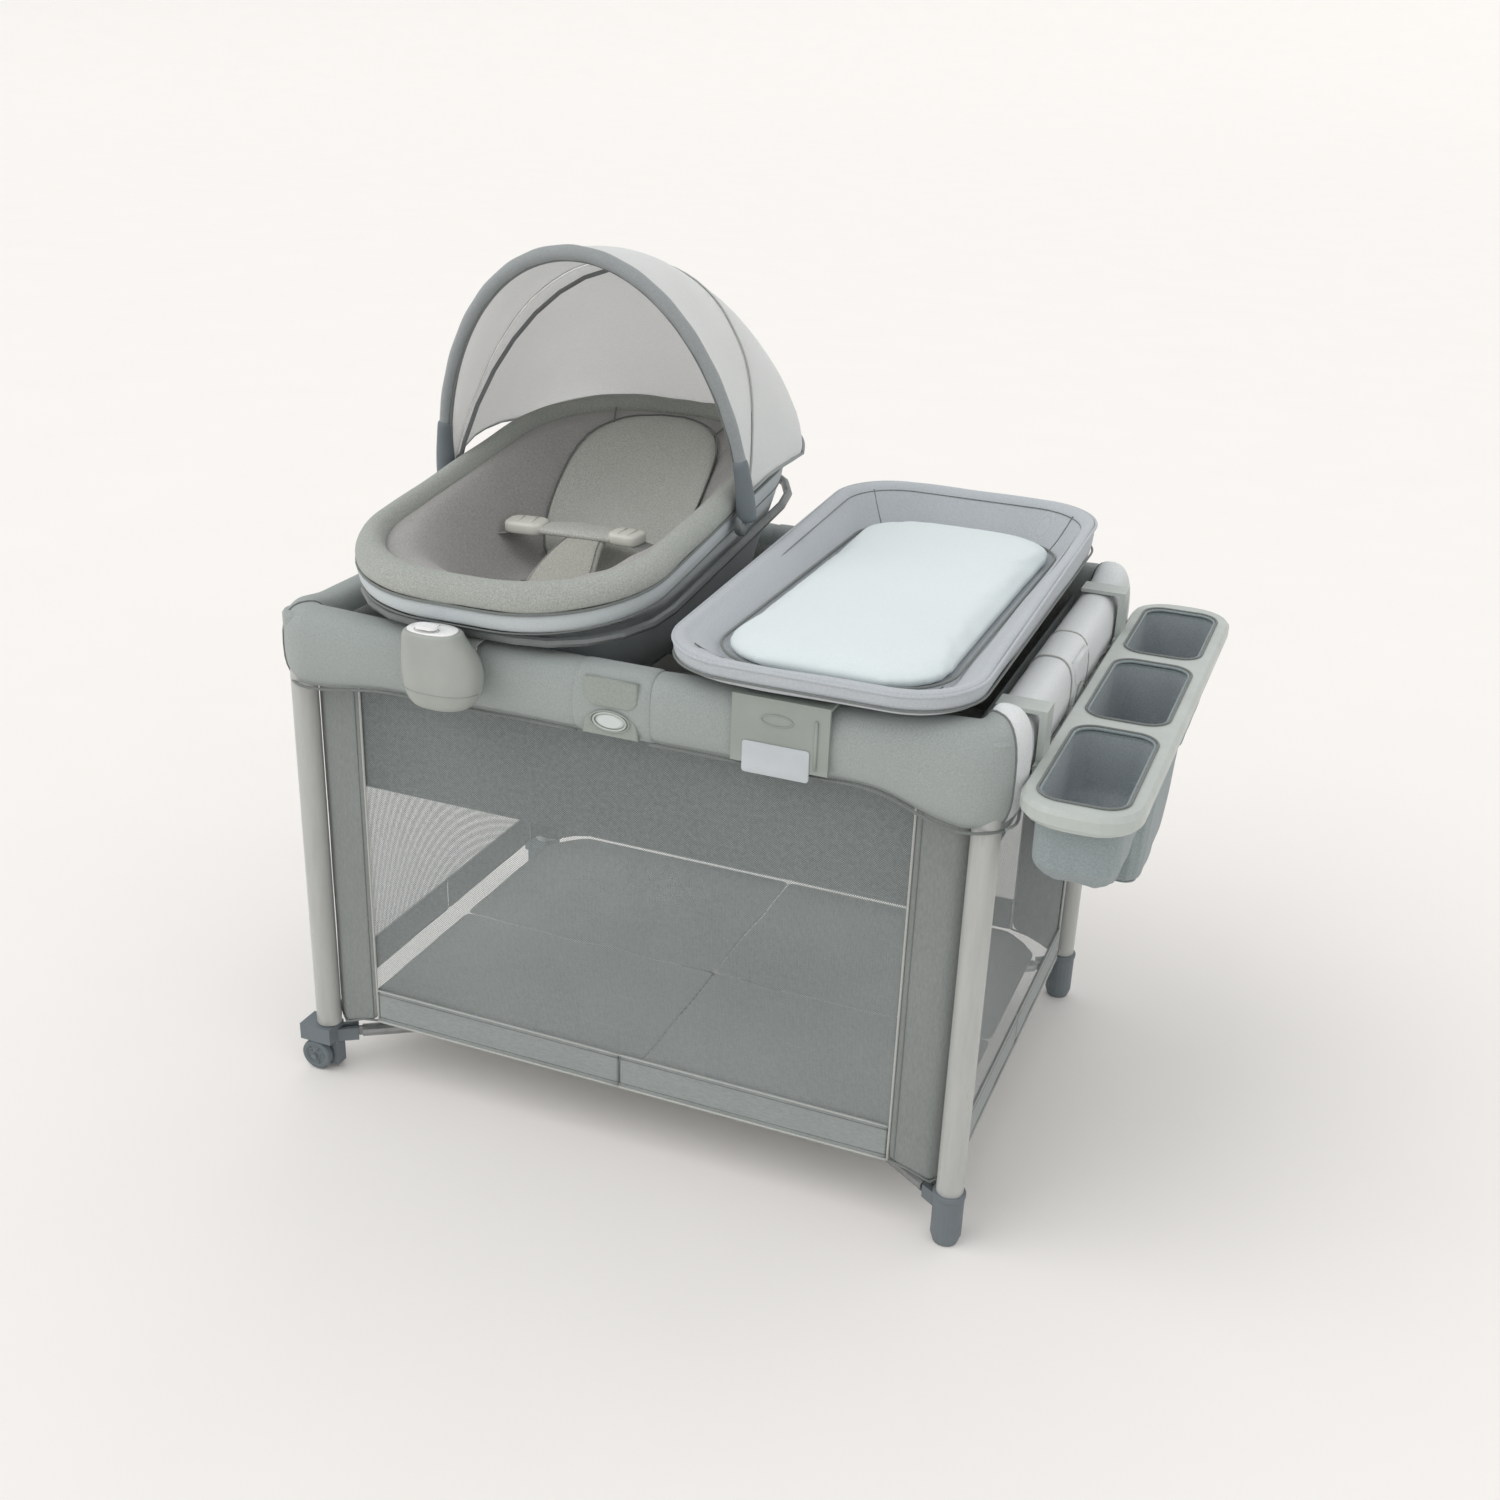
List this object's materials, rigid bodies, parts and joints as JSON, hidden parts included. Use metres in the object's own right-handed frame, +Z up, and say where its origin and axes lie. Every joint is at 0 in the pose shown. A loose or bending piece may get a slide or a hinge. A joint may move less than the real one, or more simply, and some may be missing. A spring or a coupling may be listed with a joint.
{
  "type": "travel play yard",
  "caption": "Folding travel play yard with mesh walls, canopied infant seat, changing tray, bassinet insert and a side organizer.",
  "frame": {"origin": "centre of the floor hub's flat foot, on the floor", "axes": "+X along the long side towards the organizer, -Y the front long side with the soothing module, +Z up"},
  "size_m": [1.168, 0.833, 1.1771],
  "materials": {
    "champagne_tube": "satin champagne paint on steel tube",
    "dark_plastic": "fine matt texture",
    "grey_plastic": "satin moulded",
    "wheel_plastic": "matt tread",
    "steel_tube": "bare tube",
    "wall_fabric": "woven cloth and fine mesh",
    "cover_fabric": "padded heathered cloth",
    "insert_fabric": "plain woven cloth",
    "seat_fabric": "plain woven cloth",
    "heather_fabric": "soft heathered knit",
    "canopy_fabric": "light woven cloth",
    "changer_fabric": "coated woven cloth",
    "pad_white": "soft coated pad",
    "pocket_fabric": "coarse woven cloth",
    "strap_web": "woven webbing"
  },
  "bodies": {
    "leg_front_left": {"leg_front_left": "champagne_tube", "corner_front_left": "dark_plastic", "wheel_housing_front_left": "dark_plastic", "fabric_enclosure": "wall_fabric"},
    "leg_front_right": {"leg_front_right": "champagne_tube", "corner_front_right": "dark_plastic", "foot_front_right": "dark_plastic"},
    "leg_back_right": {"leg_back_right": "champagne_tube", "corner_back_right": "dark_plastic", "foot_back_right": "dark_plastic"},
    "leg_back_left": {"leg_back_left": "champagne_tube", "corner_back_left": "dark_plastic", "wheel_housing_back_left": "dark_plastic"},
    "arm_front_left": {"floor_arm_front_left": "steel_tube"},
    "arm_front_right": {"floor_arm_front_right": "steel_tube"},
    "arm_back_right": {"floor_arm_back_right": "steel_tube"},
    "arm_back_left": {"floor_arm_back_left": "steel_tube"},
    "hub": {"floor_hub": "dark_plastic"},
    "rail_front_left_half": {"rail_front_left_half": "steel_tube", "rail_cover_front": "cover_fabric"},
    "rail_front_right_half": {"rail_front_right_half": "steel_tube"},
    "rail_back_left_half": {"rail_back_left_half": "steel_tube", "rail_cover_back": "cover_fabric"},
    "rail_back_right_half": {"rail_back_right_half": "steel_tube"},
    "rail_left_front_half": {"rail_left_front_half": "steel_tube", "rail_cover_left": "cover_fabric"},
    "rail_left_back_half": {"rail_left_back_half": "steel_tube"},
    "rail_right_front_half": {"rail_right_front_half": "steel_tube", "rail_cover_right": "cover_fabric"},
    "rail_right_back_half": {"rail_right_back_half": "steel_tube"},
    "latch_front": {"latch_front": "dark_plastic"},
    "latch_button_front": {"latch_button_front": "grey_plastic"},
    "latch_back": {"latch_back": "dark_plastic"},
    "latch_button_back": {"latch_button_back": "grey_plastic"},
    "latch_left": {"latch_left": "dark_plastic"},
    "latch_button_left": {"latch_button_left": "grey_plastic"},
    "latch_right": {"latch_right": "dark_plastic"},
    "latch_button_right": {"latch_button_right": "grey_plastic"},
    "wheel_front_left": {"wheel_front_left": "wheel_plastic"},
    "wheel_back_left": {"wheel_back_left": "wheel_plastic"},
    "bassinet": {"bassinet_insert": "insert_fabric", "bassinet_floor_frame": "steel_tube", "mattress": "heather_fabric"},
    "seat": {"seat_shell": "seat_fabric", "seat_cushion": "heather_fabric", "seat_frame_ring": "steel_tube", "seat_harness": "strap_web", "soothing_module": "grey_plastic", "seat_rear_hook": "grey_plastic"},
    "module_button": {"module_button": "pad_white"},
    "canopy_mid": {"canopy_mid_bow": "steel_tube"},
    "canopy_front": {"canopy_front_bow": "steel_tube", "canopy_fabric": "canopy_fabric"},
    "changer": {"changer_tray": "changer_fabric", "changer_pad": "pad_white", "changer_frame_ring": "steel_tube", "changer_clip_front": "grey_plastic", "changer_clip_back": "grey_plastic"},
    "organizer": {"organizer_frame": "grey_plastic", "organizer_pockets": "pocket_fabric"}
  },
  "joints": [
    {"name": "fold", "type": "hinge", "parent": "leg_front_left", "child": "arm_front_left", "pos_m": [-0.44827, -0.3174, 0.055], "axis": [0.55, -0.8352, 0], "range_deg": [0, 76], "deforming": ["fabric_enclosure", "rail_cover_front", "rail_cover_back", "rail_cover_left", "rail_cover_right"]},
    {"name": "hub_level", "type": "hinge", "parent": "arm_front_left", "child": "hub", "pos_m": [-0.03827, -0.0474, 0.055], "axis": [0.55, -0.8352, 0], "range_deg": [-76, 0]},
    {"name": "arm_front_right_fold", "type": "hinge", "parent": "hub", "child": "arm_front_right", "pos_m": [0.03827, -0.0474, 0.055], "axis": [0.55, 0.8352, 0], "range_deg": [0, 76]},
    {"name": "leg_front_right_level", "type": "hinge", "parent": "arm_front_right", "child": "leg_front_right", "pos_m": [0.44827, -0.3174, 0.055], "axis": [0.55, 0.8352, 0], "range_deg": [-76, 0]},
    {"name": "arm_back_right_fold", "type": "hinge", "parent": "hub", "child": "arm_back_right", "pos_m": [0.03827, 0.0474, 0.055], "axis": [-0.55, 0.8352, 0], "range_deg": [0, 76]},
    {"name": "leg_back_right_level", "type": "hinge", "parent": "arm_back_right", "child": "leg_back_right", "pos_m": [0.44827, 0.3174, 0.055], "axis": [-0.55, 0.8352, 0], "range_deg": [-76, 0]},
    {"name": "arm_back_left_fold", "type": "hinge", "parent": "hub", "child": "arm_back_left", "pos_m": [-0.03827, 0.0474, 0.055], "axis": [-0.55, -0.8352, 0], "range_deg": [0, 76]},
    {"name": "leg_back_left_level", "type": "hinge", "parent": "arm_back_left", "child": "leg_back_left", "pos_m": [-0.44827, 0.3174, 0.055], "axis": [-0.55, -0.8352, 0], "range_deg": [-76, 0]},
    {"name": "rail_front_left_half_fold", "type": "hinge", "parent": "leg_front_left", "child": "rail_front_left_half", "pos_m": [-0.44, -0.335, 0.69], "axis": [0, 1, 0], "range_deg": [0, 76]},
    {"name": "rail_front_right_half_fold", "type": "hinge", "parent": "leg_front_right", "child": "rail_front_right_half", "pos_m": [0.44, -0.335, 0.69], "axis": [0, -1, 0], "range_deg": [0, 76]},
    {"name": "rail_back_left_half_fold", "type": "hinge", "parent": "leg_back_left", "child": "rail_back_left_half", "pos_m": [-0.44, 0.335, 0.69], "axis": [0, 1, 0], "range_deg": [0, 76]},
    {"name": "rail_back_right_half_fold", "type": "hinge", "parent": "leg_back_right", "child": "rail_back_right_half", "pos_m": [0.44, 0.335, 0.69], "axis": [0, -1, 0], "range_deg": [0, 76]},
    {"name": "rail_left_front_half_fold", "type": "hinge", "parent": "leg_front_left", "child": "rail_left_front_half", "pos_m": [-0.475, -0.3, 0.69], "axis": [-1, 0, 0], "range_deg": [0, 76]},
    {"name": "rail_left_back_half_fold", "type": "hinge", "parent": "leg_back_left", "child": "rail_left_back_half", "pos_m": [-0.475, 0.3, 0.69], "axis": [1, 0, 0], "range_deg": [0, 76]},
    {"name": "rail_right_front_half_fold", "type": "hinge", "parent": "leg_front_right", "child": "rail_right_front_half", "pos_m": [0.475, -0.3, 0.69], "axis": [-1, 0, 0], "range_deg": [0, 76]},
    {"name": "rail_right_back_half_fold", "type": "hinge", "parent": "leg_back_right", "child": "rail_right_back_half", "pos_m": [0.475, 0.3, 0.69], "axis": [1, 0, 0], "range_deg": [0, 76]},
    {"name": "latch_front_level", "type": "hinge", "parent": "rail_front_left_half", "child": "latch_front", "pos_m": [-0.03, -0.335, 0.69], "axis": [0, 1, 0], "range_deg": [-76, 0]},
    {"name": "latch_button_front_press", "type": "slide", "parent": "latch_front", "child": "latch_button_front", "axis": [0, 1, 0], "range_m": [0, 0.004], "stiffness_N_per_m": 300, "springref_m": -0.002},
    {"name": "latch_back_level", "type": "hinge", "parent": "rail_back_left_half", "child": "latch_back", "pos_m": [-0.03, 0.335, 0.69], "axis": [0, 1, 0], "range_deg": [-76, 0]},
    {"name": "latch_button_back_press", "type": "slide", "parent": "latch_back", "child": "latch_button_back", "axis": [0, -1, 0], "range_m": [0, 0.004], "stiffness_N_per_m": 300, "springref_m": -0.002},
    {"name": "latch_left_level", "type": "hinge", "parent": "rail_left_front_half", "child": "latch_left", "pos_m": [-0.475, -0.03, 0.69], "axis": [-1, 0, 0], "range_deg": [-76, 0]},
    {"name": "latch_button_left_press", "type": "slide", "parent": "latch_left", "child": "latch_button_left", "axis": [1, 0, 0], "range_m": [0, 0.004], "stiffness_N_per_m": 300, "springref_m": -0.002},
    {"name": "latch_right_level", "type": "hinge", "parent": "rail_right_front_half", "child": "latch_right", "pos_m": [0.475, -0.03, 0.69], "axis": [-1, 0, 0], "range_deg": [-76, 0]},
    {"name": "latch_button_right_press", "type": "slide", "parent": "latch_right", "child": "latch_button_right", "axis": [-1, 0, 0], "range_m": [0, 0.004], "stiffness_N_per_m": 300, "springref_m": -0.002},
    {"name": "wheel_front_left_spin", "type": "hinge", "parent": "leg_front_left", "child": "wheel_front_left", "pos_m": [-0.489, -0.35, 0.024], "axis": [0, 1, 0], "continuous": true},
    {"name": "wheel_back_left_spin", "type": "hinge", "parent": "leg_back_left", "child": "wheel_back_left", "pos_m": [-0.489, 0.35, 0.024], "axis": [0, 1, 0], "continuous": true},
    {"name": "bassinet_lift", "type": "slide", "parent": "hub", "child": "bassinet", "axis": [0, 0, 1], "range_m": [0, 1.35]},
    {"name": "seat_lift", "type": "slide", "parent": "bassinet", "child": "seat", "axis": [0, 0, 1], "range_m": [0, 0.3]},
    {"name": "module_button_press", "type": "slide", "parent": "seat", "child": "module_button", "axis": [0, 0, -1], "range_m": [0, 0.003], "stiffness_N_per_m": 300, "springref_m": -0.002},
    {"name": "canopy_fold", "type": "hinge", "parent": "seat", "child": "canopy_mid", "pos_m": [-0.21, 0, 0.82], "axis": [-1, 0, 0], "range_deg": [0, 34], "deforming": ["canopy_fabric"]},
    {"name": "canopy_front_fold", "type": "hinge", "parent": "canopy_mid", "child": "canopy_front", "pos_m": [-0.21, 0, 0.82], "axis": [-1, 0, 0], "range_deg": [0, 26]},
    {"name": "changer_lift", "type": "slide", "parent": "bassinet", "child": "changer", "axis": [0, 0, 1], "range_m": [0, 0.3]},
    {"name": "organizer_pull", "type": "slide", "parent": "bassinet", "child": "organizer", "axis": [1, 0, 0], "range_m": [0, 0.15]}
  ],
  "couplings": [
    {"joint": "hub_level", "follows": "fold", "ratio": -1},
    {"joint": "arm_front_right_fold", "follows": "fold", "ratio": 1},
    {"joint": "leg_front_right_level", "follows": "fold", "ratio": -1},
    {"joint": "arm_back_right_fold", "follows": "fold", "ratio": 1},
    {"joint": "leg_back_right_level", "follows": "fold", "ratio": -1},
    {"joint": "arm_back_left_fold", "follows": "fold", "ratio": 1},
    {"joint": "leg_back_left_level", "follows": "fold", "ratio": -1},
    {"joint": "rail_front_left_half_fold", "follows": "fold", "ratio": 1},
    {"joint": "rail_front_right_half_fold", "follows": "fold", "ratio": 1},
    {"joint": "rail_back_left_half_fold", "follows": "fold", "ratio": 1},
    {"joint": "rail_back_right_half_fold", "follows": "fold", "ratio": 1},
    {"joint": "rail_left_front_half_fold", "follows": "fold", "ratio": 1},
    {"joint": "rail_left_back_half_fold", "follows": "fold", "ratio": 1},
    {"joint": "rail_right_front_half_fold", "follows": "fold", "ratio": 1},
    {"joint": "rail_right_back_half_fold", "follows": "fold", "ratio": 1},
    {"joint": "latch_front_level", "follows": "fold", "ratio": -1},
    {"joint": "latch_back_level", "follows": "fold", "ratio": -1},
    {"joint": "latch_left_level", "follows": "fold", "ratio": -1},
    {"joint": "latch_right_level", "follows": "fold", "ratio": -1},
    {"joint": "bassinet_lift", "follows": "fold", "m_per_rad": 1},
    {"joint": "canopy_front_fold", "follows": "canopy_fold", "ratio": 0.76471}
  ]
}
